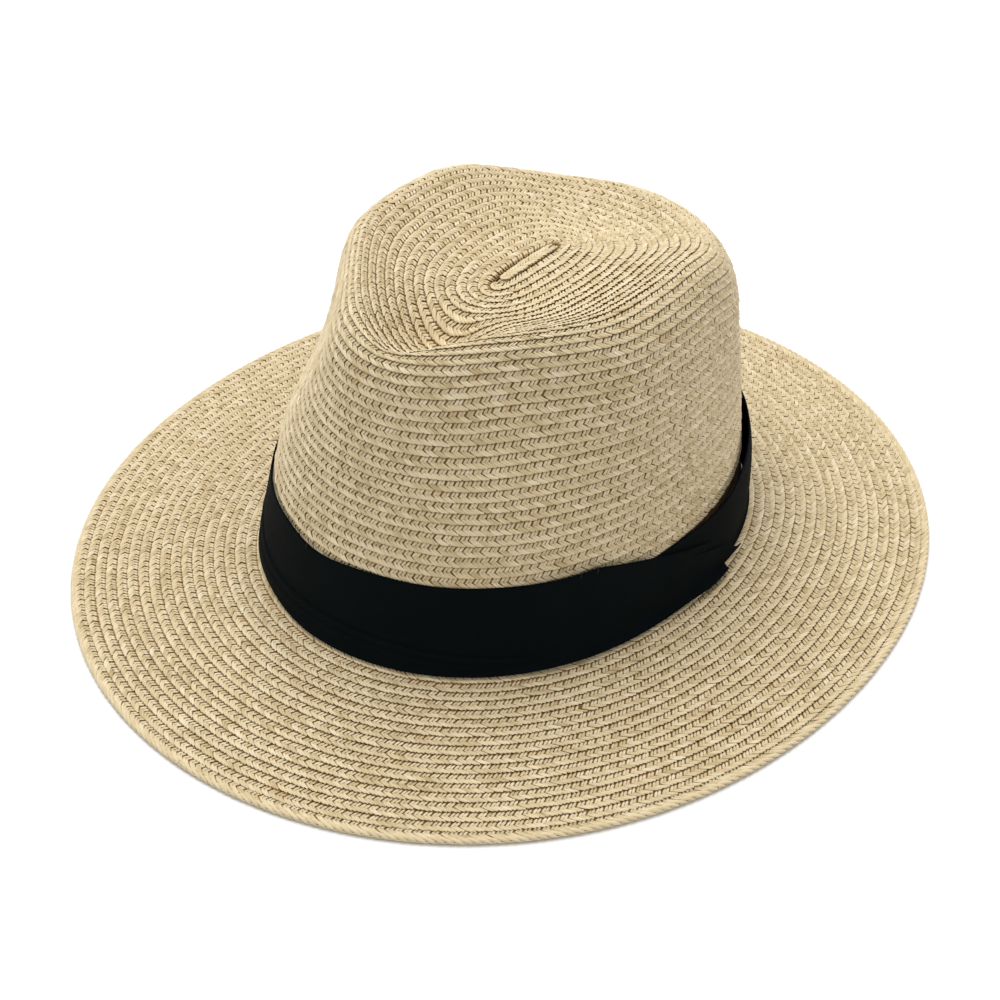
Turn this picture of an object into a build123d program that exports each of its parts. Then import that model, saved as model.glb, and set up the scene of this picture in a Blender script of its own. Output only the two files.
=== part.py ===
from build123d import *
import math
import os

# Straw sun hat, in millimetres. The hat lies brim down on z = 0, +Z is up, the wearer looks
# along -Y, and the wearer's left is +X. The origin is the middle of the brim, on the surface.
#
# The straw is one long braid coiled from a short straight start at the crown's tip. Every row
# of it lies at one distance from the start, measured over the straw ("run" below), so the whole
# hat is one formula: a profile of slope against run, swept round an oval, and then creased.

# --- The profile of the open, uncreased hat: slope in degrees below level, against run ---
STEP = 0.5                  # run between two stations of the profile
TIP_SLOPE = 22.2            # slope that the rounded tip reaches
TIP_RUN = 58.3              # run over which it reaches it
SHOULDER_START = 45.7       # run at which the shoulder begins to turn down
SHOULDER_RUN = 47.8         # run of the turn
WALL_SLOPE = 81.7           # slope of the crown's wall
WALL_END = 191.4            # run at the middle of the break between the wall and the brim
BREAK_RUN = 8.0             # run over which the wall turns out into the brim
BRIM_SLOPE = 4.3            # slope of the brim
BRIM_WIDTH = 73.9           # run from the break to the brim's outer edge

# --- The oval: each row is longer front to back than it is wide ---
OVAL_TIP = 15.4             # half length less half width, at the tip
OVAL_BRIM = 16.8            # the same, at the brim break and outside it
OVAL_SQUARE = 1.45          # 0 gives ellipses; more gives straighter sides
OVAL_CHANGE_WIDTH = 86.9    # half width by which one becomes the other

# --- The crown's lean and crease; heights are above the brim's upper edge ---
LEAN_BACK = 9.0             # how far the top sits behind the opening
LEAN_LEFT = 2.4             # how far it sits to the wearer's left
LEAN_HEIGHT = 130.3         # height over which the lean grows
RIM_HEIGHT = 132.6          # level about which the top is pushed in
RIM_ROUNDING = 4.6          # half height of the rounding along the rim
PUSH_IN = 1.32              # depth of the hollow over the height of the dome it came from
DIP_DEPTH = 5.9             # how far the rim sinks at the front of the crease
DIP_HALF_WIDTH = 18.5       # half width of that dip
DIP_FLARE = -0.11           # share by which it widens towards the front
DIP_CENTRE = 5.8            # its place across the crown
DIP_START = -25.5           # where the dip starts, front to back
DIP_RUN = 19.7              # distance over which it deepens
CREASE_BASE = 60.0          # height below which nothing is pushed in
CREASE_BLEND = 30.0         # height over which the crease takes over
BACK_DROP = 15.0            # how far the back of the top is pressed down
BACK_DROP_START = 24.1      # where that begins, front to back
FRONT_DROP = 2.9            # the same at the front
FRONT_DROP_START = -13.7
SIDE_DROP = 0.7             # the same at the wearer's right
DROP_RUN = 60.0             # distance over which each drop grows
DROP_BASE = 50.0            # height above which the drops begin, and over which they grow
FRONT_PINCH = 0.26          # share by which the front of the top is narrower
PINCH_START = -10.0         # where the narrowing begins, front to back
PINCH_RUN = 50.0            # distance over which it grows
PINCH_RISE = 70.0           # height over which it grows

# --- Thicknesses and the pieces' limits ---
STRAW = 2.0                 # thickness of the sewn rows
BRIM_TOP = 2.6              # the brim's upper edge above the surface that the hat lies on
EDGE_ROW = 4.0              # width of the edge row
EDGE_THICK = 3.0            # thickness of the edge row
EDGE_ROUNDING = 1.2         # radius along the edge row's outer corners
START_HALF_WIDTH = 2.6      # half width of the braid's straight start
START_THICK = 1.0           # thickness of the straight start
TIP_END = 92.0              # run at the lower edge of the crown tip
GAP = 0.2                   # air between two pieces that lie on each other

# --- The band; degrees are counted from the front, towards the wearer's left ---
BAND_LOWER = 192.0          # run at the band's lower edge, in the bend of the break
BAND_WIDTH = 36.5
BAND_THICK = 1.2            # two plies and the turned-in edge
PLY = 0.7                   # thickness of each ply of the folded end
FLAP_FROM = 66.0            # degrees at which the folded end leaves the wrap
FLAP_TO = 106.0             # degrees at its end edge
FLAP_END_WIDTH = 12.0       # width of the folded end at its end edge
NARROWING_POWER = 1.15      # 1 narrows a ply evenly; more keeps it wide for longer
TUCK_FROM = 88.0            # degrees at the two ends of the tucked-under ply
TUCK_TO = 109.5
TUCK_START_WIDTH = 20.0     # its width at those ends
TUCK_END_WIDTH = 8.0
TACKS = (62.0, 66.0, 140.0, 190.0, 240.0, 300.0, 350.0)     # degrees at each hand stitch
TACK_LENGTH = 2.5
THREAD_RADIUS = 0.3

# --- The sweatband ---
SWEATBAND_WIDTH = 30.0
SWEATBAND_FOOT = 8.0        # run from its lower edge to the break, clear of the bend
SWEATBAND_THICK = 0.9
STITCHES = 72               # lock stitches round its lower edge
STITCH_LENGTH = 4.5

# --- How finely the curved faces are drawn ---
RING_POINTS = 48            # points that one closed row curve passes through
TIP_SECTIONS = 28           # row curves that each face passes through
SIDE_SECTIONS = 20
BRIM_SECTIONS = 40
BAND_SECTIONS = 16
SWEATBAND_SECTIONS = 8
STRIP_SECTIONS = 9          # cross-sections of a strip that goes part of the way round
NUDGE = 0.2                 # step along the straw, and round it in radians, over which
NUDGE_ANGLE = 0.02          # the straw's direction is measured


def ease(t):
    """Go smoothly from 0 to 1 as t goes from 0 to 1."""
    t = min(max(t, 0.0), 1.0)
    return t * t * (3 - 2 * t)


def slope_at(run):
    """Slope of the open profile at this run, in radians below level."""
    slope = TIP_SLOPE * ease(run / TIP_RUN)
    slope += (WALL_SLOPE - TIP_SLOPE) * ease((run - SHOULDER_START) / SHOULDER_RUN)
    break_start = WALL_END - BREAK_RUN / 2
    slope -= (WALL_SLOPE - BRIM_SLOPE) * ease((run - break_start) / BREAK_RUN)
    return math.radians(slope)


def open_profile():
    """Half widths and heights at every STEP of run, with the brim's upper edge at height 0."""
    widths = [0.0]
    heights = [0.0]
    for index in range(round((WALL_END + BRIM_WIDTH) / STEP)):
        slope = slope_at((index + 0.5) * STEP)
        widths.append(widths[-1] + STEP * math.cos(slope))
        heights.append(heights[-1] - STEP * math.sin(slope))
    return widths, [height - heights[-1] for height in heights]


def crease(x, y, height):
    """Height of a point of the open crown once its top is pushed in and pressed down."""
    along = DIP_START - y
    half_width = DIP_HALF_WIDTH * (1 + DIP_FLARE * ease(along / DROP_RUN))
    dip = DIP_DEPTH * ease(along / DIP_RUN) * math.exp(-((x - DIP_CENTRE) / half_width) ** 2)
    rim = RIM_HEIGHT - dip
    above = height - rim
    depth = above * PUSH_IN if above > 0 else above
    pushed = rim - math.hypot(depth, RIM_ROUNDING)
    blend = ease((height - CREASE_BASE) / CREASE_BLEND)
    drop = BACK_DROP * ease((y - BACK_DROP_START) / DROP_RUN)
    drop += FRONT_DROP * ease((-y - FRONT_DROP_START) / DROP_RUN)
    drop += SIDE_DROP * ease(-x / DROP_RUN)
    return height * (1 - blend) + pushed * blend - drop * ease((height - DROP_BASE) / DROP_BASE)


def straw_point(run, angle):
    """Point on the straw's outer face; angle 0 is the front and 90 degrees the wearer's left."""
    index = min(int(run / STEP), len(WIDTHS) - 2)
    part = min(run / STEP - index, 1.0)
    width = WIDTHS[index] * (1 - part) + WIDTHS[index + 1] * part
    height = HEIGHTS[index] * (1 - part) + HEIGHTS[index + 1] * part
    longer = OVAL_TIP + (OVAL_BRIM - OVAL_TIP) * ease(width / OVAL_CHANGE_WIDTH)
    longer *= math.tanh(OVAL_SQUARE * math.cos(angle)) / math.tanh(OVAL_SQUARE)
    lean = ease(height / LEAN_HEIGHT)
    y = -width * math.cos(angle) - longer + LEAN_BACK * lean
    pinch = FRONT_PINCH * ease((PINCH_START - y) / PINCH_RUN) * ease((height - DROP_BASE) / PINCH_RISE)
    x = width * math.sin(angle) * (1 - pinch) + LEAN_LEFT * lean
    return Vector(x, y, crease(x, y, height) + BRIM_TOP)


def skin_point(run, angle, out):
    """Point that lies "out" millimetres off the straw's outer face (negative is inwards)."""
    along = straw_point(run + NUDGE, angle) - straw_point(max(run - NUDGE, 0), angle)
    around = straw_point(run, angle + NUDGE_ANGLE) - straw_point(run, angle - NUDGE_ANGLE)
    return straw_point(run, angle) + around.cross(along).normalized() * -out


def ring(run, out):
    """Closed curve round the hat at one run."""
    points = [skin_point(run, 2 * math.pi * index / RING_POINTS, out) for index in range(RING_POINTS)]
    return Edge.make_spline(points, periodic=True)


def layer(runs, outer, inner, tip=False):
    """Closed solid between two offsets of the straw's face, from the first run to the last."""
    faces = []
    for out in (outer, inner):
        faces.extend(Shell.make_loft([Wire([ring(run, out)]) for run in runs]).faces())
        if tip:
            middle = straw_point(0, math.pi / 2) + Vector(0, 0, out)
            faces.append(Face.make_surface(Wire([ring(runs[0], out)]), [middle]))
    for run in runs[-1:] if tip else (runs[0], runs[-1]):
        faces.append(Face.make_surface_from_curves(ring(run, outer), ring(run, inner)))
    solid = Solid(Shell(Face.sew_faces(faces)[0]))
    return solid if solid.volume > 0 else Solid(Shell([-face for face in solid.faces()]))


def strip(runs_at, first, last, outer, inner):
    """Closed solid on part of the straw: runs_at(degrees) gives its upper and lower run."""
    sections = []
    for degrees in spaced(first, last, STRIP_SECTIONS):
        angle = math.radians(degrees)
        upper, lower = runs_at(degrees)
        middle = (upper + lower) / 2
        outwards = skin_point(middle, angle, 1) - skin_point(middle, angle, 0)
        top, foot = straw_point(upper, angle), straw_point(lower, angle)
        corners = [top + outwards * inner, top + outwards * outer]
        corners += [foot + outwards * outer, foot + outwards * inner]
        sections.append(Wire.make_polygon(corners))
    return Solid.make_loft(sections)


def spaced(start, end, count):
    """List count values from start to end."""
    return [start + (end - start) * index / (count - 1) for index in range(count)]


def thread(start, end):
    """Short straight length of sewing thread."""
    return Solid.make_cylinder(THREAD_RADIUS, (end - start).length, Plane(start, z_dir=end - start))


def crown_tip():
    return layer(spaced(START_HALF_WIDTH, TIP_END, TIP_SECTIONS), 0, -STRAW, tip=True)


def braid_start():
    return layer([START_HALF_WIDTH / 2, START_HALF_WIDTH], GAP + START_THICK, GAP, tip=True)


def crown_side():
    return layer(spaced(TIP_END, WALL_END - BREAK_RUN / 2, SIDE_SECTIONS), 0, -STRAW)


def brim():
    first, last = WALL_END - BREAK_RUN / 2, WALL_END + BRIM_WIDTH - EDGE_ROW - GAP
    return layer(spaced(first, last, BRIM_SECTIONS), 0, -STRAW)


def brim_edge():
    outlines = []
    for run in (WALL_END + BRIM_WIDTH, WALL_END + BRIM_WIDTH - EDGE_ROW):
        points = [straw_point(run, 2 * math.pi * index / RING_POINTS) for index in range(RING_POINTS)]
        flat = [Vector(point.X, point.Y, 0) for point in points]
        outlines.append(Wire([Edge.make_spline(flat, periodic=True)]))
    edge = extrude(Face(outlines[0], [outlines[1]]), EDGE_THICK)
    outer_corners = edge.edges().sort_by(SortBy.LENGTH)[-2:]
    return fillet(outer_corners, EDGE_ROUNDING)


def hat_band():
    runs = spaced(BAND_LOWER - BAND_WIDTH, BAND_LOWER, BAND_SECTIONS)
    return layer(runs, GAP + BAND_THICK, GAP)


def narrowing(first, last, start_width, end_width):
    """Upper and lower run, against degrees, of a strip that narrows from its upper side."""
    def runs_at(degrees):
        share = ((degrees - first) / (last - first)) ** NARROWING_POWER
        width = start_width + (end_width - start_width) * share
        return BAND_LOWER - width, BAND_LOWER
    return runs_at


def band_flap():
    inner = BAND_THICK + PLY + 3 * GAP
    runs_at = narrowing(FLAP_FROM, FLAP_TO, BAND_WIDTH, FLAP_END_WIDTH)
    return strip(runs_at, FLAP_FROM, FLAP_TO, inner + PLY, inner)


def band_tuck():
    inner = BAND_THICK + 2 * GAP
    runs_at = narrowing(TUCK_FROM, TUCK_TO, TUCK_START_WIDTH, TUCK_END_WIDTH)
    return strip(runs_at, TUCK_FROM, TUCK_TO, inner + PLY, inner)


def band_tacks():
    """Stitches over the band's upper edge, each from the straw down onto the cloth."""
    upper = BAND_LOWER - BAND_WIDTH
    out = BAND_THICK + GAP + THREAD_RADIUS
    tacks = []
    for degrees in TACKS:
        angle = math.radians(degrees)
        start = skin_point(upper - TACK_LENGTH / 2, angle, out)
        tacks.append(thread(start, skin_point(upper + TACK_LENGTH / 2, angle, out)))
    return Compound(tacks)


def sweatband():
    lower = WALL_END - SWEATBAND_FOOT
    outer = -STRAW - GAP
    runs = spaced(lower - SWEATBAND_WIDTH, lower, SWEATBAND_SECTIONS)
    return layer(runs, outer, outer - SWEATBAND_THICK)


def sweatband_stitches():
    """Lock stitches along the sweatband's lower edge."""
    run = WALL_END - SWEATBAND_FOOT - STITCH_LENGTH / 2
    out = -STRAW - 2 * GAP - SWEATBAND_THICK - THREAD_RADIUS
    stitches = []
    for index in range(STITCHES):
        middle = 2 * math.pi * index / STITCHES
        half = STITCH_LENGTH / 2 / OVAL_CHANGE_WIDTH
        stitches.append(thread(skin_point(run, middle - half, out), skin_point(run, middle + half, out)))
    return Compound(stitches)


WIDTHS, HEIGHTS = open_profile()
PIECES = {
    "crown_tip_braid": crown_tip,
    "braid_start": braid_start,
    "crown_side_braid": crown_side,
    "brim_braid": brim,
    "brim_edge_braid": brim_edge,
    "hat_band": hat_band,
    "hat_band_end_flap": band_flap,
    "hat_band_end_tuck": band_tuck,
    "hat_band_tacks": band_tacks,
    "sweatband": sweatband,
    "sweatband_stitches": sweatband_stitches,
}
os.makedirs("parts", exist_ok=True)
for node, build in PIECES.items():
    export_step(build(), f"parts/{node}.step")
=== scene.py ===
import math

import bmesh
import bpy
import numpy as np
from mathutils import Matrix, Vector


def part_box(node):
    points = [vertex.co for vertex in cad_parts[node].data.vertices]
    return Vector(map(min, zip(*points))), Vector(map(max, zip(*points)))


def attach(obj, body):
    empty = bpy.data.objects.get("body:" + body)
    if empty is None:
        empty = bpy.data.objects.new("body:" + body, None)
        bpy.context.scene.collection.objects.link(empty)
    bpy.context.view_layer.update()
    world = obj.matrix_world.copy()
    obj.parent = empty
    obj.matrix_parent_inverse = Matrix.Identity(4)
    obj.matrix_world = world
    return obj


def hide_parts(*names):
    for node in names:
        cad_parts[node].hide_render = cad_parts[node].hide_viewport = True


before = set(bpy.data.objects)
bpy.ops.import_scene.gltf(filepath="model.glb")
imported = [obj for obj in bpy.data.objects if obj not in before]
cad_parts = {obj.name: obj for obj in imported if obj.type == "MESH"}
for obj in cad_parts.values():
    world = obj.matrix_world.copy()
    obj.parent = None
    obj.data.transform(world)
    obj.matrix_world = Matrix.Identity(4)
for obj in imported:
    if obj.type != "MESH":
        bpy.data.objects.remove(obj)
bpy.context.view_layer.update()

# Straw sun hat, in metres and in the frame of the CAD model: brim down on z = 0, the wearer looks
# along -Y. The braid is laid over the same formula that part.py builds its solids from.

MM = 0.001
TURN = 2 * math.pi
SEED = 7
RANDOM = np.random.default_rng(SEED)

# --- The hat's form, as in part.py ---
STEP = 0.5 * MM             # run between two stations of the profile
TIP_SLOPE = 22.2            # degrees below level
TIP_RUN = 58.3 * MM
SHOULDER_START = 45.7 * MM
SHOULDER_RUN = 47.8 * MM
WALL_SLOPE = 81.7
WALL_END = 191.4 * MM
BREAK_RUN = 8.0 * MM
BRIM_SLOPE = 4.3
BRIM_WIDTH = 73.9 * MM
OVAL_TIP = 15.4 * MM
OVAL_BRIM = 16.8 * MM
OVAL_SQUARE = 1.45
OVAL_CHANGE_WIDTH = 86.9 * MM
LEAN_BACK = 9.0 * MM
LEAN_LEFT = 2.4 * MM
LEAN_HEIGHT = 130.3 * MM
RIM_HEIGHT = 132.6 * MM
RIM_ROUNDING = 4.6 * MM
PUSH_IN = 1.32
DIP_DEPTH = 5.9 * MM
DIP_HALF_WIDTH = 18.5 * MM
DIP_FLARE = -0.11
DIP_CENTRE = 5.8 * MM
DIP_START = -25.5 * MM
DIP_RUN = 19.7 * MM
CREASE_BASE = 60.0 * MM
CREASE_BLEND = 30.0 * MM
BACK_DROP = 15.0 * MM
BACK_DROP_START = 24.1 * MM
FRONT_DROP = 2.9 * MM
FRONT_DROP_START = -13.7 * MM
SIDE_DROP = 0.7 * MM
DROP_RUN = 60.0 * MM
DROP_BASE = 50.0 * MM
FRONT_PINCH = 0.26
PINCH_START = -10.0 * MM
PINCH_RUN = 50.0 * MM
PINCH_RISE = 70.0 * MM
STRAW = 2.0 * MM
BRIM_TOP = 2.6 * MM
TIP_END = 92.0 * MM
GAP = 0.2 * MM
BAND_LOWER = 192.0 * MM
BAND_WIDTH = 36.5 * MM
BAND_THICK = 1.2 * MM
PLY = 0.7 * MM
FLAP_FROM = 66.0
FLAP_TO = 106.0
FLAP_END_WIDTH = 12.0 * MM
NARROWING_POWER = 1.15
TUCK_FROM = 88.0
TUCK_TO = 109.5
TUCK_START_WIDTH = 20.0 * MM
TACKS = (62.0, 66.0, 140.0, 190.0, 240.0, 300.0, 350.0)
TACK_LENGTH = 2.5 * MM
THREAD_RADIUS = 0.3 * MM
SWEATBAND_WIDTH = 30.0 * MM
SWEATBAND_FOOT = 8.0 * MM
SWEATBAND_THICK = 0.9 * MM
STITCHES = 72
STITCH_LENGTH = 4.5 * MM

# --- The braid ---
ROW = 4.18 * MM             # run from one row to the next
FIRST_EDGE = 1.14 * MM      # run of a row's outer edge, less one ROW for every turn
LAST_EDGE = 263.8 * MM      # run at which the last row meets the edge row
COIL_START = 0.9            # turns at which the coil comes out from under the straight start
YARN_PITCH = 1.55 * MM      # from one yarn to the next along a row
YARN_CLOSER = 0.24 * MM     # how much nearer the second yarn of a strand lies to the first
YARN_HALF_WIDTH = 0.55 * MM
YARN_RISE = 0.32 * MM       # height of a yarn's crown over its sides
ROW_LOW = -1.08 * MM        # base of a row's yarns at its inner side, off the straw's outer face
ROW_HIGH = -0.34 * MM       # and at its outer side, which lies on the next row
INSIDE_DEEPEST = -0.88 * MM # the inner face's rows stay this near to it, clear of the outer face
INNER_STATIONS = (0, 0.3, 0.54, 0.67, 1)    # shares of a yarn's way at which it is drawn
OUTER_STATIONS = (0, 0.25, 0.5, 0.75, 1)
INNER_HIDES = (0.54, 0.67)  # share at which an inner yarn goes under the next row
YARN_COLUMNS = 4            # points across a yarn
INSIDE_COLUMNS = 3
TIP_SPLIT = 66.0 * MM       # runs at which the rows of a zone are split into meshes
SIDE_SPLIT = 130.0 * MM
BRIM_SPLITS = (215.0 * MM, 240.0 * MM)
INNER_SIDE_SPLIT = 142.0 * MM
INNER_BRIM_SPLIT = 229.0 * MM
COIL_STEPS = 720            # steps in a turn for measuring the braid's length
WAVE_COUNT = 6              # waves that make up the braid's unevenness
WAVE_RATES = (40.0, 120.0)  # radians per metre of braid
WAVE_SIZES = (0.3, 1.0)
WAVER_GAIN = 1.6
ROW_WAVER = 0.1 * MM        # how far the rows swing off their even spacing
NEAREST_RUN = 0.05 * MM     # no yarn comes nearer to the middle of the tip
PAST_LAST_EDGE = 1.2 * MM   # and none lies further out than this beyond the last row
LAST_ROW_SUNK = 0.6 * MM    # how far the last row sinks while the edge row covers it
ROWS_PAST_EDGE = 0.98       # share of a row that the braid goes on past LAST_EDGE
START_SPREAD = 0.06 * MM    # random spreads of where a yarn begins,
REACH_SPREAD = 0.05         # of how far it reaches,
STRAND_SPREAD = 0.07 * MM   # of where a strand lies across the row and in height,
YARN_SPREAD = 0.03 * MM     # of the height of a yarn in its strand,
STRAND_TONE_SPREAD = 0.16   # and of their tones
YARN_TONE_SPREAD = 0.08
WIDTH_RANGE = (0.88, 1.08)  # of a yarn's half width
LOWEST_SHARE = -0.3         # share of a row inside its inner side where its base stops falling
MEAN_TONE = 0.5
TONE_WAVER = 0.08           # slow change of tone along the braid
TONE_WAVER_STRETCH = 0.7
SIDE_SHADE = 0.12           # how much painted shade browns a yarn's sides
CROWN_SHOWS = 0.5           # how much of the painted shade a yarn's crown sheds where it is hidden
# darker tone of the backings, part of their painted shade
BACKING_SHADE_TONE = 0.3
EDGE_STRANDS = 3
EDGE_LAY = 9.4 * MM         # length of the edge in which a strand goes round once
EDGE_INSET = 1.2 * MM       # middle of the edge row, in from the brim's edge
EDGE_OUT = -1.32 * MM       # and off the straw's outer face
EDGE_SWING = (0.55 * MM, 0.62 * MM)     # of a strand across and in height
EDGE_RADIUS = 0.66 * MM

# --- The cloth's shape; the angles of a fold or sag are where it begins, is full, and so on back ---
FULL_TURN = 360.0           # degrees
RIGHT_SAG = 1.2 * MM        # of the wrap's upper edge on the wearer's right,
RIGHT_SAG_AT = (-120, -80, -35, -15)
FRONT_SAG = 2.4 * MM        # in front,
FRONT_SAG_MIDDLE = -8
FRONT_SAG_WIDTH = 14
TAB_SAG = 9.0 * MM          # and behind the tab
TAB_SAG_AT = (50, 70, 98, 143)
LOWER_EDGE = 0.3 * MM       # of the wrap, beyond BAND_LOWER
RIGHT_LIFT = 2.0 * MM       # of the wrap's lower edge
RIGHT_LIFT_AT = (-120, -60, -30, -2)
FOLDS_AT = (-95, -55, 35, 75)
GROOVE_WIDTH = 0.018        # share of the band's width
SLACK = 3.0 * MM            # of the wrap behind the tab
SLACK_AT = (84, 108, 135, 170)
SLACK_FORM = 2.5            # radians over the band's width, so that it is greatest above the middle
END_LEAN = 4.5              # degrees by which the tab's end leans back at its lower edge
TUCK_LEAN = 3.0
TUCK_END_WIDTH = 6.0 * MM
TUCK_CORNER_LOWER = 3.0 * MM
TUCK_CORNER_OUT = 2.8 * MM


def ease(t):
    """0 up to 0, 1 from 1 on, and smooth between them."""
    t = np.clip(t, 0, 1)
    return t * t * (3 - 2 * t)


def ramp(value, start, end):
    """0 at start, 1 at end, and smooth between them; start may be the greater one."""
    return ease((value - start) / (end - start))


def window(value, begins, is_full, stays_full, ends):
    """1 where a change is full, 0 where it hasn't begun or has ended, and smooth between them."""
    return ramp(value, begins, is_full) * ramp(value, ends, stays_full)


def open_profile():
    """Half width and height of the uncreased hat against run."""
    count = round((WALL_END + BRIM_WIDTH) / STEP)
    middles = (np.arange(count) + 0.5) * STEP
    slope = TIP_SLOPE * ease(middles / TIP_RUN)
    slope += (WALL_SLOPE - TIP_SLOPE) * ease((middles - SHOULDER_START) / SHOULDER_RUN)
    break_start = WALL_END - BREAK_RUN / 2
    slope -= (WALL_SLOPE - BRIM_SLOPE) * ease((middles - break_start) / BREAK_RUN)
    slope = np.radians(slope)
    widths = np.concatenate([[0], np.cumsum(STEP * np.cos(slope))])
    heights = np.concatenate([[0], -np.cumsum(STEP * np.sin(slope))])
    return np.arange(count + 1) * STEP, widths, heights - heights[-1]


RUNS, WIDTHS, HEIGHTS = open_profile()


def crease(x, y, height):
    """Height once the crown's top is pushed in and pressed down."""
    along = DIP_START - y
    half_width = DIP_HALF_WIDTH * (1 + DIP_FLARE * ease(along / DROP_RUN))
    dip = ease(along / DIP_RUN) * np.exp(-((x - DIP_CENTRE) / half_width) ** 2)
    rim = RIM_HEIGHT - DIP_DEPTH * dip
    above = height - rim
    depth = np.where(above > 0, above * PUSH_IN, above)
    pushed = rim - np.hypot(depth, RIM_ROUNDING)
    blend = ease((height - CREASE_BASE) / CREASE_BLEND)
    drop = BACK_DROP * ease((y - BACK_DROP_START) / DROP_RUN)
    drop += FRONT_DROP * ease((-y - FRONT_DROP_START) / DROP_RUN)
    drop += SIDE_DROP * ease(-x / DROP_RUN)
    return height * (1 - blend) + pushed * blend - drop * ease((height - DROP_BASE) / DROP_BASE)


def straw_points(run, angle):
    """Points on the straw's outer face; angle 0 is the front and pi/2 the wearer's left."""
    width = np.interp(run, RUNS, WIDTHS)
    height = np.interp(run, RUNS, HEIGHTS)
    longer = OVAL_TIP + (OVAL_BRIM - OVAL_TIP) * ease(width / OVAL_CHANGE_WIDTH)
    longer = longer * np.tanh(OVAL_SQUARE * np.cos(angle)) / math.tanh(OVAL_SQUARE)
    lean = ease(height / LEAN_HEIGHT)
    y = -width * np.cos(angle) - longer + LEAN_BACK * lean
    pinch = FRONT_PINCH * ease((PINCH_START - y) / PINCH_RUN) * ease((height - DROP_BASE) / PINCH_RISE)
    x = width * np.sin(angle) * (1 - pinch) + LEAN_LEFT * lean
    return np.stack([x, y, crease(x, y, height) + BRIM_TOP], axis=-1)


def outwards(run, angle):
    """Unit normals of the straw's outer face."""
    small_run, small_angle, tiny = 0.3 * MM, 0.02, 1e-12
    nearer = np.maximum(run - small_run, 0)
    along = straw_points(run + small_run, angle) - straw_points(nearer, angle)
    around = straw_points(run, angle + small_angle) - straw_points(run, angle - small_angle)
    normal = np.cross(along, around)
    length = np.linalg.norm(normal, axis=-1, keepdims=True)
    return np.where(length > tiny, normal / np.maximum(length, tiny), [0.0, 0.0, 1.0])


def skin(run, angle, out):
    """Points that lie "out" off the straw's outer face."""
    run, angle, out = np.broadcast_arrays(run, angle, out)
    return straw_points(run, angle) + outwards(run, angle) * out[..., None]


# --- Meshes ---

def grids_to_mesh(name, grids):
    """One mesh from dicts of grids: points (count, rows, columns, 3), uv (same, 2), tone and deep
    (same; the share of painted shade), flip, and closed (from the last row to the first, from the last
    column to the first)."""
    coordinates, corners, uvs, tones, painted_shades = [], [], [], [], []
    offset = 0
    for grid in grids:
        points = grid["points"]
        count, rows, columns = points.shape[:3]
        wrap_rows, wrap_columns = grid.get("closed", (False, False))
        index = np.arange(count * rows * columns).reshape(count, rows, columns)
        if wrap_rows:
            index = np.concatenate([index, index[:, :1]], axis=1)
        if wrap_columns:
            index = np.concatenate([index, index[:, :, :1]], axis=2)
        near, far = index[:, :-1], index[:, 1:]
        quads = np.stack([near[..., :-1], far[..., :-1], far[..., 1:], near[..., 1:]], axis=-1)
        if grid.get("flip", False):
            quads = quads[..., ::-1]
        quads = quads.reshape(-1, 4)
        corners.append(quads + offset)
        coordinates.append(points.reshape(-1, 3))
        uvs.append(grid["uv"].reshape(-1, 2)[quads.reshape(-1)])
        shape = points.shape[:3]
        tones.append(np.broadcast_to(grid.get("tone", MEAN_TONE), shape).reshape(-1))
        painted_shades.append(np.broadcast_to(grid.get("painted_shade", 0.0), shape).reshape(-1))
        offset += count * rows * columns
    corners = np.concatenate(corners)
    mesh = bpy.data.meshes.new(name)
    mesh.vertices.add(offset)
    mesh.vertices.foreach_set("co", np.concatenate(coordinates).astype(np.float32).reshape(-1))
    mesh.loops.add(len(corners) * 4)
    mesh.loops.foreach_set("vertex_index", corners.astype(np.int32).reshape(-1))
    mesh.polygons.add(len(corners))
    mesh.polygons.foreach_set("loop_start", np.arange(0, len(corners) * 4, 4, dtype=np.int32))
    mesh.polygons.foreach_set("use_smooth", np.full(len(corners), True))
    layer = mesh.uv_layers.new(name="lay")
    layer.uv.foreach_set("vector", np.concatenate(uvs).astype(np.float32).reshape(-1))
    for label, values in (("tone", tones), ("painted_shade", painted_shades)):
        attribute = mesh.attributes.new(label, "FLOAT", "POINT")
        attribute.data.foreach_set("value", np.concatenate(values).astype(np.float32))
    mesh.update(calc_edges=True)
    mesh.validate()
    return mesh


def weld(mesh):
    """Join the grids of a mesh where they meet, so that it is closed."""
    nearness = 0.01 * MM
    made = bmesh.new()
    made.from_mesh(mesh)
    bmesh.ops.remove_doubles(made, verts=made.verts, dist=nearness)
    made.to_mesh(mesh)
    made.free()


def add_piece(name, mesh, material, slot, *nodes):
    """Put a mesh in the scene as a piece of the hat that stands for these CAD nodes."""
    piece = bpy.data.objects.new(name, mesh)
    bpy.context.scene.collection.objects.link(piece)
    mesh.materials.append(material)
    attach(piece, "root")
    if nodes:
        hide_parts(*nodes)
    return piece


# --- Materials ---

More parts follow.
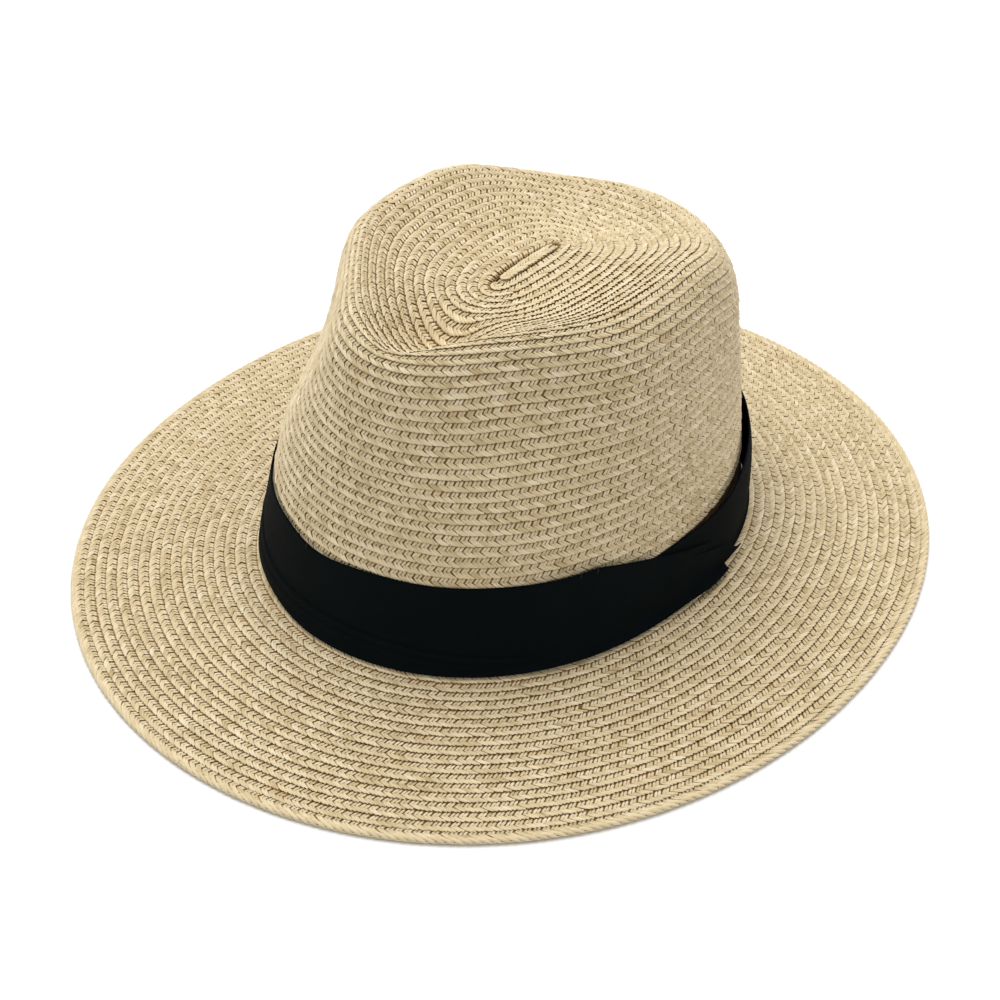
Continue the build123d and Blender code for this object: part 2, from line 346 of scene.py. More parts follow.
class Nodes:
    """A node material under construction."""

    def __init__(self, name):
        self.material = bpy.data.materials.new(name)
        self.material.use_nodes = True
        self.tree = self.material.node_tree
        self.shader = self.tree.nodes["Principled BSDF"]

    def add(self, kind, inputs=(), **settings):
        node = self.tree.nodes.new(kind)
        for key, value in settings.items():
            setattr(node, key, value)
        for key, value in dict(inputs).items():
            if isinstance(value, bpy.types.NodeSocket):
                self.tree.links.new(value, node.inputs[key])
            else:
                node.inputs[key].default_value = value
        return node

    def math(self, operation, first, second=0.0):
        return self.add("ShaderNodeMath", {0: first, 1: second}, operation=operation).outputs[0]

    def mix(self, factor, first, second):
        """The mix node's sockets for colours are its inputs 6 and 7 and its output 2."""
        inputs = {0: factor, 6: first, 7: second}
        return self.add("ShaderNodeMix", inputs, data_type="RGBA").outputs[2]

    def noise(self, vector, scale, detail=3.0, roughness=0.55):
        inputs = {"Vector": vector, "Scale": scale, "Detail": detail, "Roughness": roughness}
        return self.add("ShaderNodeTexNoise", inputs).outputs["Fac"]

    def stretched(self, vector, scale):
        return self.add("ShaderNodeMapping", {"Vector": vector, "Scale": scale}).outputs[0]

    def bump(self, height, distance, strength=1.0):
        inputs = {"Height": height, "Distance": distance, "Strength": strength}
        self.tree.links.new(self.add("ShaderNodeBump", inputs).outputs[0], self.shader.inputs["Normal"])

    def link(self, socket, value):
        self.tree.links.new(value, self.shader.inputs[socket])

    def set(self, **values):
        for key, value in values.items():
            self.shader.inputs[key.replace("_", " ")].default_value = value


STRAW_DARK = (0.52, 0.395, 0.205, 1)
STRAW_MIDDLE = (0.71, 0.58, 0.355, 1)
STRAW_LIGHT = (0.84, 0.72, 0.50, 1)
# brown of painted shade: the braid's crevices, where rows go under, and the backing
STRAW_PAINTED_SHADE = (0.19, 0.085, 0.008, 1)
BAND_DARK = (0.0004, 0.0013, 0.0018, 1)
BAND_LIGHT = (0.0028, 0.0064, 0.0083, 1)
LINING_DARK = (0.006, 0.006, 0.007, 1)
LINING_LIGHT = (0.03, 0.03, 0.033, 1)
PALE_THREAD_DARK = (0.32, 0.24, 0.13, 1)
PALE_THREAD_LIGHT = (0.5, 0.4, 0.25, 1)
BLACK_THREAD_DARK = (0.006, 0.007, 0.008, 1)
BLACK_THREAD_LIGHT = (0.03, 0.033, 0.035, 1)


def straw_material():
    """Twisted paper yarn: fine lengthwise fibres, tone that changes from yarn to yarn, painted brown shade
    in its depths.
    """
    made = Nodes("straw_braid")
    tone = made.add("ShaderNodeAttribute", attribute_name="tone").outputs["Fac"]
    painted_shade = made.add("ShaderNodeAttribute", attribute_name="painted_shade").outputs["Fac"]
    lay = made.add("ShaderNodeUVMap", uv_map="lay").outputs[0]
    fibre_scale, speck_scale = (320.0, 3000.0, 1.0), (900.0, 1500.0, 1.0)
    fibre_contrast, speck_height = 1.1, 0.4
    least_roughness, more_roughness = 0.42, 0.3
    fibres = made.noise(made.stretched(lay, fibre_scale), 1.0, detail=4.0)
    specks = made.noise(made.stretched(lay, speck_scale), 1.0, detail=2.0)
    change = made.math("MULTIPLY", made.math("SUBTRACT", fibres, MEAN_TONE), fibre_contrast)
    colours = made.add("ShaderNodeValToRGB", {"Fac": made.math("ADD", tone, change)})
    stops = colours.color_ramp.elements
    stops[0].color = STRAW_DARK
    stops[1].color = STRAW_LIGHT
    stops.new(MEAN_TONE).color = STRAW_MIDDLE
    # painted shade: the share of painted shade mixes the yarn colour towards brown in crevices and where
    # yarns go under
    made.link("Base Color", made.mix(painted_shade, colours.outputs[0], STRAW_PAINTED_SHADE))
    rough = made.math("MULTIPLY", specks, more_roughness)
    made.link("Roughness", made.math("ADD", rough, least_roughness))
    made.set(Specular_IOR_Level=0.35, Sheen_Weight=0.08, Sheen_Roughness=0.5)
    height = made.math("ADD", fibres, made.math("MULTIPLY", specks, speck_height))
    made.bump(height, distance=0.3 * MM)
    return made.material


def cloth_material(name, dark, light, thread, sheen):
    """Plain-woven cloth; thread is the distance from one thread to the next."""
    made = Nodes(name)
    lay = made.add("ShaderNodeUVMap", uv_map="lay").outputs[0]
    parts = made.add("ShaderNodeSeparateXYZ", {0: lay}).outputs
    weave_shows, fuzz_shows, clouds_show = 0.14, 0.75, 0.5
    least_roughness, more_roughness, weave_height = 0.72, 0.2, 0.5
    fuzz_scale, cloud_scale = 2500.0, 60.0
    turns = TURN / thread
    warp = made.math("SINE", made.math("MULTIPLY", parts[0], turns))
    weft = made.math("SINE", made.math("MULTIPLY", parts[1], turns))
    weave = made.math("MULTIPLY", warp, weft)
    fuzz = made.noise(lay, fuzz_scale, detail=4.0)
    clouds = made.math("SUBTRACT", made.noise(lay, cloud_scale), MEAN_TONE)
    amount = made.math("MULTIPLY", weave, weave_shows)
    amount = made.math("ADD", amount, made.math("MULTIPLY", fuzz, fuzz_shows))
    amount = made.math("ADD", amount, made.math("MULTIPLY", clouds, clouds_show))
    made.link("Base Color", made.mix(amount, dark, light))
    rough = made.math("MULTIPLY", fuzz, more_roughness)
    made.link("Roughness", made.math("ADD", rough, least_roughness))
    made.set(Specular_IOR_Level=0.06, Sheen_Weight=sheen, Sheen_Roughness=0.45)
    height = made.math("ADD", made.math("MULTIPLY", weave, weave_height), fuzz)
    made.bump(height, distance=0.12 * MM, strength=0.7)
    return made.material


# --- The coiled braid ---

def edge_run(turns):
    """Run of the row's outer edge after this many turns, before the brim's edge holds it back."""
    return FIRST_EDGE + ROW * turns


def coil_line():
    """Length along the braid, and the turns at which it is reached."""
    end = (LAST_EDGE - FIRST_EDGE) / ROW + 1
    turns = np.arange(COIL_START, end, 1 / COIL_STEPS)
    middle = straw_points(np.minimum(edge_run(turns), LAST_EDGE) - ROW / 2, turns * TURN)
    steps = np.linalg.norm(np.diff(middle, axis=0), axis=1)
    return np.concatenate([[0], np.cumsum(steps)]), turns


LENGTHS, TURNS = coil_line()
WAVES = []
for _ in range(WAVE_COUNT):
    WAVES.append((RANDOM.uniform(*WAVE_RATES), RANDOM.uniform(0, TURN), RANDOM.uniform(*WAVE_SIZES)))


def length_at(run):
    """Length along the braid at which a row's outer edge reaches this run."""
    return np.interp((run - FIRST_EDGE) / ROW, TURNS, LENGTHS)


def waver(length):
    """Slow unevenness along the braid, about -1 to 1."""
    total = sum(size * np.sin(length * rate + phase) for rate, phase, size in WAVES)
    return total / sum(size for rate, phase, size in WAVES) * WAVER_GAIN


def on_coil(length, across, out, inside=False):
    """Points on the braid: across is 0 to ROW from a row's inner side to its outer edge."""
    turns = np.interp(length, LENGTHS, TURNS)
    free = edge_run(turns)
    held = np.minimum(free, LAST_EDGE)
    edge = held + ROW_WAVER * waver(length)
    if inside:
        out = -STRAW - np.maximum(out, INSIDE_DEEPEST)
    else:
        out = out - (free - held) / ROW * LAST_ROW_SUNK
    run = np.clip(edge - ROW + across, NEAREST_RUN, LAST_EDGE + PAST_LAST_EDGE)
    return skin(run, turns * TURN, out)


def yarn_family(starts, share, columns, shape, inside, place):
    """Grid of yarns that begin at these lengths, two to a strand. shape(share) gives each yarn's way
    along and across the row, its rise, its share of the full width, and how hidden it is."""
    along, across, rise, wide, hidden = shape(share)
    d_along, d_across = np.gradient(along), np.gradient(across)
    size = np.hypot(d_along, d_across)
    side = np.linspace(-1, 1, columns)
    count = len(starts)
    strand = np.arange(count) // 2
    widths = YARN_HALF_WIDTH * RANDOM.uniform(*WIDTH_RANGE, count)
    offset = widths[:, None, None] * wide[:, None] * side
    reach = RANDOM.normal(1, REACH_SPREAD, count)[strand][:, None, None]
    lengths = starts[:, None, None] + along[:, None] * reach - (d_across / size)[:, None] * offset
    shifts = across[:, None] + (d_along / size)[:, None] * offset
    shifts = shifts + RANDOM.normal(0, STRAND_SPREAD, count)[strand][:, None, None]
    round_top = np.sqrt(np.maximum(1 - side ** 2, 0))
    base = ROW_LOW + (ROW_HIGH - ROW_LOW) * np.clip(shifts / ROW, LOWEST_SHARE, 1)
    wobble = RANDOM.normal(0, STRAND_SPREAD, count)[strand] + RANDOM.normal(0, YARN_SPREAD, count)
    out = base + rise[:, None] + wobble[:, None, None] + YARN_RISE * round_top
    if inside:
        shifts = ROW - shifts
    points = place(lengths, shifts, out, inside)
    grain = RANDOM.uniform(0, 1, count)[:, None, None]
    uv = np.stack([np.broadcast_to(along[:, None] + grain, offset.shape), offset + grain], axis=-1)
    tone = MEAN_TONE + RANDOM.normal(0, STRAND_TONE_SPREAD, count)[strand]
    tone = tone + RANDOM.normal(0, YARN_TONE_SPREAD, count)
    tone = tone + TONE_WAVER * waver(starts * TONE_WAVER_STRETCH)
    # painted shade: brown on a yarn's sides, and where it goes under the next row
    painted_shade = SIDE_SHADE * (1 - round_top) + hidden[:, None] * (1 - CROWN_SHOWS * round_top)
    painted_shade = np.clip(painted_shade, 0, 1)
    return {"points": points, "uv": uv, "tone": tone[:, None, None], "painted_shade": painted_shade, "flip": not inside}


def inner_yarn(share):
    """From the middle of the row back under the row inside it."""
    forward, starts_at, goes_back = 2.2 * MM, 0.57, 0.74
    start_sunk, end_sunk = 0.34 * MM, 0.15 * MM
    start_narrower, end_narrower, start_hidden = 0.22, 0.5, 0.3
    risen, widened, lit, sinks, narrows = 0.35, 0.4, 0.25, (0.7, 1), (0.5, 0.85)
    along = forward * share
    across = ROW * (starts_at - goes_back * share)
    rise = -start_sunk * ramp(share, risen, 0) - end_sunk * ramp(share, *sinks)
    wide = 1 - start_narrower * ramp(share, widened, 0) - end_narrower * ramp(share, *narrows)
    hidden = start_hidden * ramp(share, lit, 0) + ramp(share, *INNER_HIDES)
    return along, across, rise, wide, hidden


def outer_yarn(share):
    """From the middle of the row out to its edge, which it then follows and forms."""
    forward, starts_at, goes_out = 3.7 * MM, 0.42, 0.53
    start_sunk, end_sunk = 0.34 * MM, 0.32 * MM
    start_narrower, end_narrower, start_hidden = 0.25, 0.15, 0.35
    risen, widened, lit, sinks, narrows = 0.3, 0.4, 0.22, (0.7, 1), (0.6, 1)
    along = forward * share
    across = ROW * (starts_at + goes_out * np.sin(share * math.pi / 2))
    rise = -start_sunk * ramp(share, risen, 0) - end_sunk * ramp(share, *sinks)
    wide = 1 - start_narrower * ramp(share, widened, 0) - end_narrower * ramp(share, *narrows)
    hidden = start_hidden * ramp(share, lit, 0)
    return along, across, rise, wide, hidden


def plait(first_run, last_run, columns=YARN_COLUMNS, inside=False):
    """Both families of yarns over the rows between two runs."""
    first, last = length_at(first_run), length_at(last_run)
    grids = []
    for shape, stations in ((inner_yarn, INNER_STATIONS), (outer_yarn, OUTER_STATIONS)):
        share = np.array(stations[::2] if inside else stations)
        index = np.arange(int((last - first) / YARN_PITCH))
        starts = first + index * YARN_PITCH - YARN_CLOSER * (index % 2)
        starts = starts + RANDOM.normal(0, START_SPREAD, len(starts))
        grids.append(yarn_family(starts, share, columns, shape, inside, on_coil))
    return grids


def row_backing(first_run, last_run, inside):
    """The body of the rows, coloured wholly in painted shade and seen only between yarns."""
    station_gap = 2.5 * MM
    below_yarns = np.array([0.35, 0.3, 0.3, 0.55]) * MM
    lengths = np.arange(length_at(first_run), length_at(last_run), station_gap)[None, :, None]
    across = ROW * np.array([-0.3, 0.35, 0.95, 1.0])
    out = ROW_LOW + (ROW_HIGH - ROW_LOW) * across / ROW - below_yarns
    lengths, across, out = np.broadcast_arrays(lengths, across, out)
    points = on_coil(lengths, ROW - across if inside else across, out, inside)
    uv = np.stack([lengths, across], axis=-1)
    # the whole backing takes the brown of painted shade
    return {"points": points, "uv": uv, "tone": BACKING_SHADE_TONE, "painted_shade": 1.0, "flip": not inside}


def add_braid(straw):
    """The rows of every zone: an outer face, and an inner face with the body of the rows."""
    end = LAST_EDGE + ROW * ROWS_PAST_EDGE
    first = edge_run(COIL_START)
    before_break, upper_lap, lower_lap = 3.0 * MM, 11.0 * MM, 2.5 * MM
    break_run = WALL_END - before_break
    under_band = (BAND_LOWER - BAND_WIDTH + upper_lap, BAND_LOWER - lower_lap)
    zones = {
        "crown_tip": (first, TIP_SPLIT, TIP_END),
        "crown_side": (TIP_END, SIDE_SPLIT, under_band[0]),
        "brim": (under_band[1], *BRIM_SPLITS, end),
    }
    for zone, runs in zones.items():
        for part in range(1, len(runs)):
            name = f"{zone}_plait_{part}"
            mesh = grids_to_mesh(name, plait(runs[part - 1], runs[part]))
            add_piece(name, mesh, straw, "straw_braid", zone + "_braid")
    inner_zones = {
        "crown_tip": (first, TIP_END),
        "crown_side": (TIP_END, INNER_SIDE_SPLIT, break_run),
        "brim": (break_run, INNER_BRIM_SPLIT, end),
    }
    for zone, runs in inner_zones.items():
        for part in range(1, len(runs)):
            name = f"{zone}_inner_face_{part}"
            start, stop = runs[part - 1], runs[part]
            grids = plait(start, stop, INSIDE_COLUMNS, inside=True)
            grids += [row_backing(start, stop, False), row_backing(start, stop, True)]
            add_piece(name, grids_to_mesh(name, grids), straw, "straw_braid")


def on_start(length, across, out):
    """Points on the straight start; length runs from its front end, across from side to side."""
    nearly_all = 0.999
    x = across - ROW / 2
    y = np.clip(length / OVAL_TIP - 1, -nearly_all, nearly_all)
    cosine = np.arctanh(-y * math.tanh(OVAL_SQUARE)) / OVAL_SQUARE
    angle = np.arccos(np.clip(cosine, -1, 1)) * np.where(x < 0, -1, 1)
    return skin(np.abs(x), angle, out)


def add_braid_start(straw):
    """The braid's first straight run, which lies on top of the coil."""
    first_yarn, yarns_end, height = 0.8 * MM, 1.78 * OVAL_TIP, 0.15 * MM
    backing_start, backing_end, backing_stations, shade = 0.2 * MM, 1.98 * OVAL_TIP, 40, 0.3
    grids = []
    for mirrored in (False, True):
        index = np.arange(int(yarns_end / YARN_PITCH))
        starts = first_yarn + index * YARN_PITCH + RANDOM.normal(0, START_SPREAD, len(index))

        def place(lengths, shifts, out, inside, mirrored=mirrored):
            level = out - (ROW_LOW + (ROW_HIGH - ROW_LOW) * shifts / ROW)
            return on_start(lengths, ROW - shifts if mirrored else shifts, level + height)

        grid = yarn_family(starts, np.array(OUTER_STATIONS), YARN_COLUMNS, outer_yarn, False, place)
        grid["flip"] = mirrored
        grids.append(grid)
    lengths = np.linspace(backing_start, backing_end, backing_stations)[None, :, None]
    across = ROW * np.array([0.02, 0.1, 0.5, 0.9, 0.98])
    out = np.array([-0.8, -0.6, -0.5, -0.6, -0.8]) * MM
    lengths, across, out = np.broadcast_arrays(lengths, across, out)
    uv = np.stack([lengths, across], axis=-1)
    points = on_start(lengths, across, out)
    # painted shade on the start's backing: a darker tone and a share of brown
    grids.append({"points": points, "uv": uv, "tone": BACKING_SHADE_TONE, "painted_shade": shade})
    mesh = grids_to_mesh("braid_start", grids)
    add_piece("braid_start_plait", mesh, straw, "straw_braid", "braid_start")


def add_brim_edge(straw):
    """The outermost row: strands laid round each other along the brim's edge."""
    stations, corners, round_steps = 1500, 8, 720
    swell, swells, tone_change, tone_changes = 0.05, 311, 0.12, 97
    tone_middle, girth_in_uv = 0.55, 4 * MM
    middle_run = WALL_END + BRIM_WIDTH - EDGE_INSET
    round_angles = np.linspace(0, TURN, round_steps + 1)
    steps = np.linalg.norm(np.diff(straw_points(middle_run, round_angles), axis=0), axis=1)
    lengths = np.concatenate([[0], np.cumsum(steps)])
    turns = round(lengths[-1] / EDGE_LAY)
    place = np.linspace(0, 1, stations, endpoint=False)
    angle = np.interp(place * lengths[-1], lengths, round_angles)
    corner = np.linspace(0, TURN, corners, endpoint=False)
    grids = []
    for strand in range(EDGE_STRANDS):
        phase = TURN * (turns * place + strand / EDGE_STRANDS)
        run = middle_run + EDGE_SWING[0] * np.cos(phase)
        out = EDGE_OUT - EDGE_SWING[1] * np.sin(phase)
        centre = skin(run, angle, out)
        forward = np.roll(centre, -1, axis=0) - np.roll(centre, 1, axis=0)
        forward /= np.linalg.norm(forward, axis=1, keepdims=True)
        normal = outwards(run, angle)
        normal -= forward * np.sum(normal * forward, axis=1, keepdims=True)
        normal /= np.linalg.norm(normal, axis=1, keepdims=True)
        across = np.cross(forward, normal)
        radius = EDGE_RADIUS * (1 + swell * np.sin(place * swells + strand))
        ring = across[:, None] * np.cos(corner)[:, None] + normal[:, None] * np.sin(corner)[:, None]
        points = centre[:, None] + ring * radius[:, None, None]
        along = place[:, None] * lengths[-1]
        around = corner / TURN * girth_in_uv + strand
        uv = np.stack(np.broadcast_arrays(along, around), axis=-1)
        tone = tone_middle + tone_change * np.sin(place * tone_changes + strand * 2)
        grid = {"points": points[None], "uv": uv[None], "tone": tone[None, :, None]}
        grids.append({**grid, "closed": (True, True)})
    mesh = grids_to_mesh("brim_edge", grids)
    add_piece("brim_edge_plait", mesh, straw, "straw_braid", "brim_edge_braid")


# --- The band ---

def strip_mesh(name, degrees, upper, lower, inner, thick, relief=None, slack=None, slant=0.0):
    """A closed strip of cloth round part of the crown. upper, lower, inner and thick go with degrees;
    relief(degrees, run) shapes its outer side, and slack(degrees, run) moves it off the straw. slant
    is how many degrees the last end leans back at its lower edge, over the last slanted degrees."""
    columns, squareness, slanted, side_apart, cap_apart = 56, 24, 20, 0.1, 0.001
    share = np.linspace(0, 1, columns)
    rounded = np.sqrt(np.clip(1 - np.abs(2 * share - 1) ** squareness, 0, 1)) / 2
    near_end = ramp(degrees, degrees[-1] - slanted, degrees[-1])[:, None]
    angle = np.radians(degrees[:, None] - slant * near_end * (1 - share))
    run = lower[:, None] + (upper - lower)[:, None] * share
    middle = inner[:, None] + thick[:, None] / 2
    middle = middle + (slack(degrees[:, None], run) if slack else 0)
    swell = thick[:, None] * rounded
    bulge = relief(degrees[:, None], run) if relief else 0
    outer_side = skin(run, angle, middle + swell + bulge)
    inner_side = skin(run, angle, middle - swell)[:, ::-1]
    points = np.concatenate([outer_side, inner_side], axis=1)
    steps = np.linalg.norm(np.diff(outer_side[:, columns // 2], axis=0), axis=1)
    along = np.concatenate([[0], np.cumsum(steps)])[:, None]
    around = lower[:, None] - run
    around = np.concatenate([around, around[:, ::-1] + side_apart], axis=1)
    uv = np.stack(np.broadcast_arrays(along, around), axis=-1)
    body = {"points": points[None], "uv": uv[None], "closed": (False, True)}
    caps = []
    for end, flip in ((0, True), (-1, False)):
        cap = np.stack([outer_side[end], inner_side[end][::-1]])
        cap_uv = np.stack([uv[end, :columns], uv[end, :columns] + cap_apart])
        caps.append({"points": cap[None], "uv": cap_uv[None], "flip": flip})
    mesh = grids_to_mesh(name, [body] + caps)
    weld(mesh)
    return mesh


def from_front(degrees):
    """The same angle, from -180 to 180 degrees."""
    half_turn = FULL_TURN / 2
    return (degrees + half_turn) % FULL_TURN - half_turn


def band_edges(degrees):
    """Upper and lower run of the wrap: its upper edge sags at the front and behind the tab."""
    centred = from_front(degrees)
    upper = BAND_LOWER - BAND_WIDTH
    upper = upper + FRONT_SAG * np.exp(-((centred - FRONT_SAG_MIDDLE) / FRONT_SAG_WIDTH) ** 2)
    upper = upper + RIGHT_SAG * window(centred, *RIGHT_SAG_AT)
    upper = upper + TAB_SAG * window(degrees, *TAB_SAG_AT)
    lower = BAND_LOWER + LOWER_EDGE - RIGHT_LIFT * window(centred, *RIGHT_LIFT_AT)
    return upper, lower


def fold(across, place, height, blend, groove):
    """A step up to the part of the band below this place, with a groove along it."""
    step = height * ramp(across, place + blend / 2, place - blend / 2)
    return step - groove * np.exp(-((across - place) / GROOVE_WIDTH) ** 2)


def band_relief(degrees, run):
    """Soft folds of the band: two long folds low on the front, and shallow pulls elsewhere."""
    turn = np.radians(degrees)
    across = (BAND_LOWER - run) / BAND_WIDTH
    centred = from_front(degrees)
    long_fold, lower_to_left, higher_to_right = 0.32, 0.16, 0.12
    short_fold_below, nearer_to_left = 0.13, 0.05
    leftwards, rightwards, short_leftwards = (0, 70), (-10, -80), (-40, 20)
    place = long_fold - lower_to_left * ramp(centred, *leftwards)
    place = place + higher_to_right * ramp(centred, *rightwards)
    low_place = place - short_fold_below + nearer_to_left * ramp(centred, *short_leftwards)
    folds = fold(across, place, height=0.55 * MM, blend=0.03, groove=0.7 * MM)
    folds = folds + fold(across, low_place, height=0.2 * MM, blend=0.04, groove=0.4 * MM)
    sunk, wide_pull, narrow_pull, shift = 0.5 * MM, 0.1 * MM, 0.07 * MM, 1.7
    wide_round, wide_up, narrow_round, narrow_down = 3, 9, 11, 6
    middle = np.sin(math.pi * np.clip(across, 0, 1))
    pulls = wide_pull * np.sin(wide_round * turn + wide_up * across) * middle
    pulls = pulls + narrow_pull * np.sin(narrow_round * turn - narrow_down * across + shift)
    return folds * window(centred, *FOLDS_AT) - sunk + pulls


def band_slack(degrees, run):
    """The wrap lies loose behind the tab, most of all above its middle."""
    across = np.clip((BAND_LOWER - run) / BAND_WIDTH, 0, 1)
    return SLACK * np.sin(SLACK_FORM * across) * window(degrees, *SLACK_AT)


def add_band(cloth):
    """One strip: its inner end lies under the wrap, and its outer end is folded down over it."""
    stations, hidden_end, wrap_radius, overlap = 720, 6, 0.1, 0.07
    end_lift, flap_lower, flap_lower_still = 1.8 * MM, 1.3 * MM, 3.0 * MM
    lifts, over_tuck = (FLAP_FROM + 6, FLAP_FROM - 4), (TUCK_FROM - 6, TUCK_FROM + 2)
    climbs, lowers, lowers_again, thins = (-26, -6), (-26, 0), (14, 36), (0, 20)
    degrees = np.linspace(FLAP_FROM - hidden_end, FLAP_TO + FULL_TURN, stations)
    round_again = degrees - FULL_TURN
    past = round_again - FLAP_FROM
    upper, lower = band_edges(degrees)
    narrow = np.clip(past / (FLAP_TO - FLAP_FROM), 0, 1) ** NARROWING_POWER
    upper = upper - (FLAP_END_WIDTH - BAND_WIDTH) * narrow
    lower = lower - end_lift * ramp(degrees, *lifts) + flap_lower * ramp(past, *lowers)
    lower = lower + flap_lower_still * ramp(past, *lowers_again)
    inner = GAP + ramp(past, *climbs) * (BAND_THICK + GAP)
    inner = inner + ramp(round_again, *over_tuck) * (PLY + GAP)
    thick = BAND_THICK - (BAND_THICK - PLY) * ramp(past, *thins)
    mesh = strip_mesh("hat_band", degrees, upper, lower, inner, thick, band_relief, band_slack, END_LEAN)
    band = add_piece("hat_band_strip", mesh, cloth, "band_cloth", "hat_band", "hat_band_end_flap")


def add_tuck(cloth):
    """The folded-under layer, whose corner stands out past the band's end."""
    stations, shorter, corner_from = 60, 1.0, 0.6
    last = TUCK_TO - shorter
    degrees = np.linspace(TUCK_FROM, last, stations)
    share = (degrees - TUCK_FROM) / (last - TUCK_FROM)
    corner = ramp(share, corner_from, 1)
    lower = BAND_LOWER + TUCK_CORNER_LOWER * corner
    widening = (TUCK_END_WIDTH - TUCK_START_WIDTH) * share ** NARROWING_POWER
    upper = lower - TUCK_START_WIDTH - widening
    inner = BAND_THICK + 2 * GAP + TUCK_CORNER_OUT * corner
    thick = np.full(stations, PLY)
    mesh = strip_mesh("tuck", degrees, upper, lower, inner, thick, None, band_slack, TUCK_LEAN)
    tuck = add_piece("hat_band_tuck", mesh, cloth, "band_cloth", "hat_band_end_tuck")


def add_sweatband(cloth):
    """The cloth strip inside the foot of the crown, whose ends meet at the back."""
    stations, back, opening = 500, 180.0, 1.0
    degrees = np.linspace(back, back + FULL_TURN - opening, stations)
    lower = np.full(stations, WALL_END - SWEATBAND_FOOT)
    inner = np.full(stations, -STRAW - GAP - SWEATBAND_THICK)
    thick = np.full(stations, SWEATBAND_THICK)
    mesh = strip_mesh("sweatband", degrees, lower - SWEATBAND_WIDTH, lower, inner, thick)
    band = add_piece("sweatband_strip", mesh, cloth, "sweatband_cloth", "sweatband")


# --- Sewing thread ---

def thread_grid(start, end, normal):
    """One stitch: two plies twisted together, pulled into the cloth at both ends."""
    stations, corners, turns, sunk_ends, fuller = 13, 6, 4, 1.2, 1.15
    girth_in_uv = 2 * MM
    share = np.linspace(0, 1, stations)
    line = end - start
    length = np.linalg.norm(line)
    forward = line / length
    across = np.cross(normal, forward)
    across /= np.linalg.norm(across)
    arch = (np.sin(share * math.pi) - 1) * sunk_ends * THREAD_RADIUS
    corner = np.linspace(0, TURN, corners, endpoint=False)
    grids = []
    for ply in (0, math.pi):
        twist = share * turns * TURN + ply
        radius = THREAD_RADIUS / 2
        centre = start + line * share[:, None] + normal * (arch + radius * np.cos(twist))[:, None]
        centre = centre + across * (radius * np.sin(twist))[:, None]
        ring = across * np.cos(corner)[:, None] + normal * np.sin(corner)[:, None]
        points = centre[:, None] + ring * radius * fuller
        along, around = share[:, None] * length, corner / TURN * girth_in_uv
        uv = np.stack(np.broadcast_arrays(along, around), axis=-1)
        grids.append({"points": points[None], "uv": uv[None], "closed": (False, True)})
    return grids


def stitch(run_1, angle_1, run_2, angle_2, out):
    """A stitch between two places on the straw, this far off its outer face."""
    start, end = skin(run_1, angle_1, out), skin(run_2, angle_2, out)
    side = math.copysign(1.0, out)
    normal = outwards((run_1 + run_2) / 2, (angle_1 + angle_2) / 2) * side
    return thread_grid(start, end, normal / np.linalg.norm(normal))


def add_tacks(thread):
    """Short stitches over the band's upper edge."""
    on_straw = 0.2 * TACK_LENGTH
    on_cloth = 0.8 * TACK_LENGTH
    grids = []
    for degrees in TACKS:
        angle = math.radians(degrees)
        on_flap = degrees < FLAP_TO
        upper, _ = band_edges(degrees + FULL_TURN if on_flap else degrees)
        out = BAND_THICK * (2 if on_flap else 1)
        grids += stitch(upper - on_straw, angle, upper + on_cloth, angle, out)
    mesh = grids_to_mesh("tacks", grids)
    add_piece("hat_band_tack_threads", mesh, thread, "tack_thread", "hat_band_tacks")


def add_sweatband_stitches(thread):
    """The seam along the sweatband's lower edge."""
    run = WALL_END - SWEATBAND_FOOT - STITCH_LENGTH / 2
    out = -STRAW - 2 * GAP - SWEATBAND_THICK
    half = STITCH_LENGTH / 2 / OVAL_CHANGE_WIDTH
    grids = []
    for index in range(STITCHES):
        middle = TURN * index / STITCHES
        grids += stitch(run, middle - half, run, middle + half, out)
    mesh = grids_to_mesh("stitches", grids)
    add_piece("sweatband_seam", mesh, thread, "sewing_thread", "sweatband_stitches")


# --- The studio ---

WORLD_STRENGTH = 0.68
LIGHT_SIZE = 1.6
LIGHT_PLACE = (-0.5, 0.35, 1.9)
LIGHT_POWER = 33.5
CAMERA_AZIMUTH = math.radians(40.0)
CAMERA_ELEVATION = math.radians(38.4)
CAMERA_DISTANCE = 0.7912
CAMERA_LENS = 71.05
CAMERA_SHIFT = (-0.007, 0.0187)


def add_floor():
    """A wide pale surface at z = 0, which isn't part of the hat."""
    half = 6.0
    corners = [(-half, -half, 0), (half, -half, 0), (half, half, 0), (-half, half, 0)]
    mesh = bpy.data.meshes.new("floor")
    mesh.from_pydata(corners, [], [(0, 1, 2, 3)])
    floor = bpy.data.objects.new("floor", mesh)
    bpy.context.scene.collection.objects.link(floor)
    made = Nodes("floor")
    made.set(Base_Color=(0.9, 0.9, 0.9, 1), Roughness=0.9, Specular_IOR_Level=0.1)
    mesh.materials.append(made.material)


def add_light(name, size, place, target, power):
    """A square light that shines at the target."""
    data = bpy.data.lights.new(name, "AREA")
    data.size = size
    data.energy = power
    light = bpy.data.objects.new(name, data)
    bpy.context.scene.collection.objects.link(light)
    light.location = place
    light.rotation_euler = (light.location - target).to_track_quat("Z", "Y").to_euler()


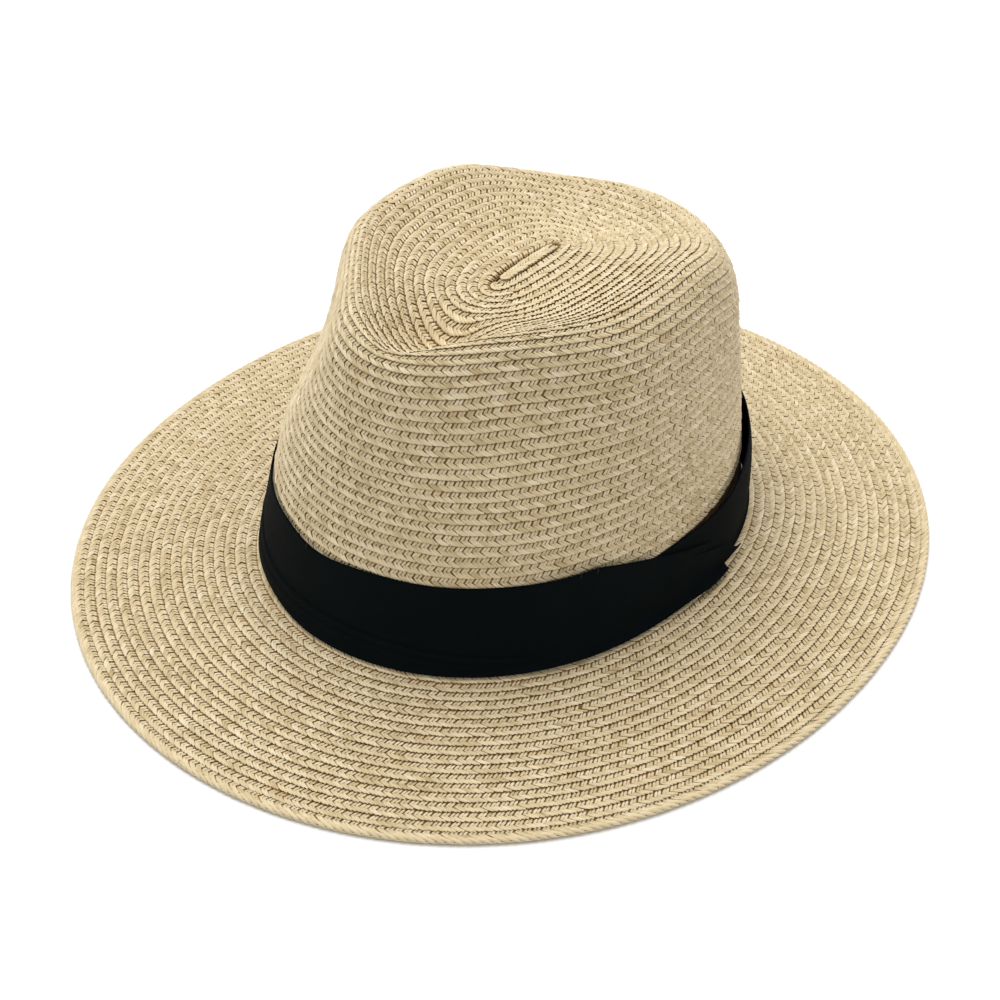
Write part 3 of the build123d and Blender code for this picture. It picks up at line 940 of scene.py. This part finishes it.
def set_studio(centre):
    """Even white surroundings, one large light overhead and the floor."""
    world = bpy.data.worlds.new("studio")
    bpy.context.scene.world = world
    world.use_nodes = True
    background = world.node_tree.nodes["Background"].inputs
    background["Color"].default_value = (1, 1, 1, 1)
    background["Strength"].default_value = WORLD_STRENGTH
    add_light("overhead", LIGHT_SIZE, LIGHT_PLACE, centre, LIGHT_POWER)
    bpy.context.scene.view_settings.view_transform = "Standard"
    add_floor()


def set_camera(target):
    """The photograph's camera: its azimuth is from the front towards the wearer's left."""
    data = bpy.data.cameras.new("camera")
    camera = bpy.data.objects.new("camera", data)
    bpy.context.scene.collection.objects.link(camera)
    data.lens = CAMERA_LENS
    data.shift_x, data.shift_y = CAMERA_SHIFT
    level = math.cos(CAMERA_ELEVATION)
    camera.location = target.copy()
    camera.location.x += math.sin(CAMERA_AZIMUTH) * level * CAMERA_DISTANCE
    camera.location.y -= math.cos(CAMERA_AZIMUTH) * level * CAMERA_DISTANCE
    camera.location.z += math.sin(CAMERA_ELEVATION) * CAMERA_DISTANCE
    camera.rotation_euler = (camera.location - target).to_track_quat("Z", "Y").to_euler()
    bpy.context.scene.camera = camera


def build():
    """The camera aims at the middle of the brim."""
    brim_low, brim_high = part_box("brim_edge_braid")
    middle = (brim_low + brim_high) / 2
    middle.z = BRIM_TOP
    set_camera(middle)
    set_studio(middle)
    straw = straw_material()
    band_cloth = cloth_material("band_cloth", BAND_DARK, BAND_LIGHT, thread=0.45 * MM, sheen=0.0)
    lining = cloth_material("sweatband_cloth", LINING_DARK, LINING_LIGHT, thread=0.6 * MM, sheen=0.1)
    pale = cloth_material("sewing_thread", PALE_THREAD_DARK, PALE_THREAD_LIGHT, thread=0.3 * MM, sheen=0.1)
    black = cloth_material("tack_thread", BLACK_THREAD_DARK, BLACK_THREAD_LIGHT, thread=0.3 * MM, sheen=0.1)
    add_braid(straw)
    add_braid_start(straw)
    add_brim_edge(straw)
    add_band(band_cloth)
    add_tuck(band_cloth)
    add_sweatband(lining)
    add_tacks(black)
    add_sweatband_stitches(pale)


build()
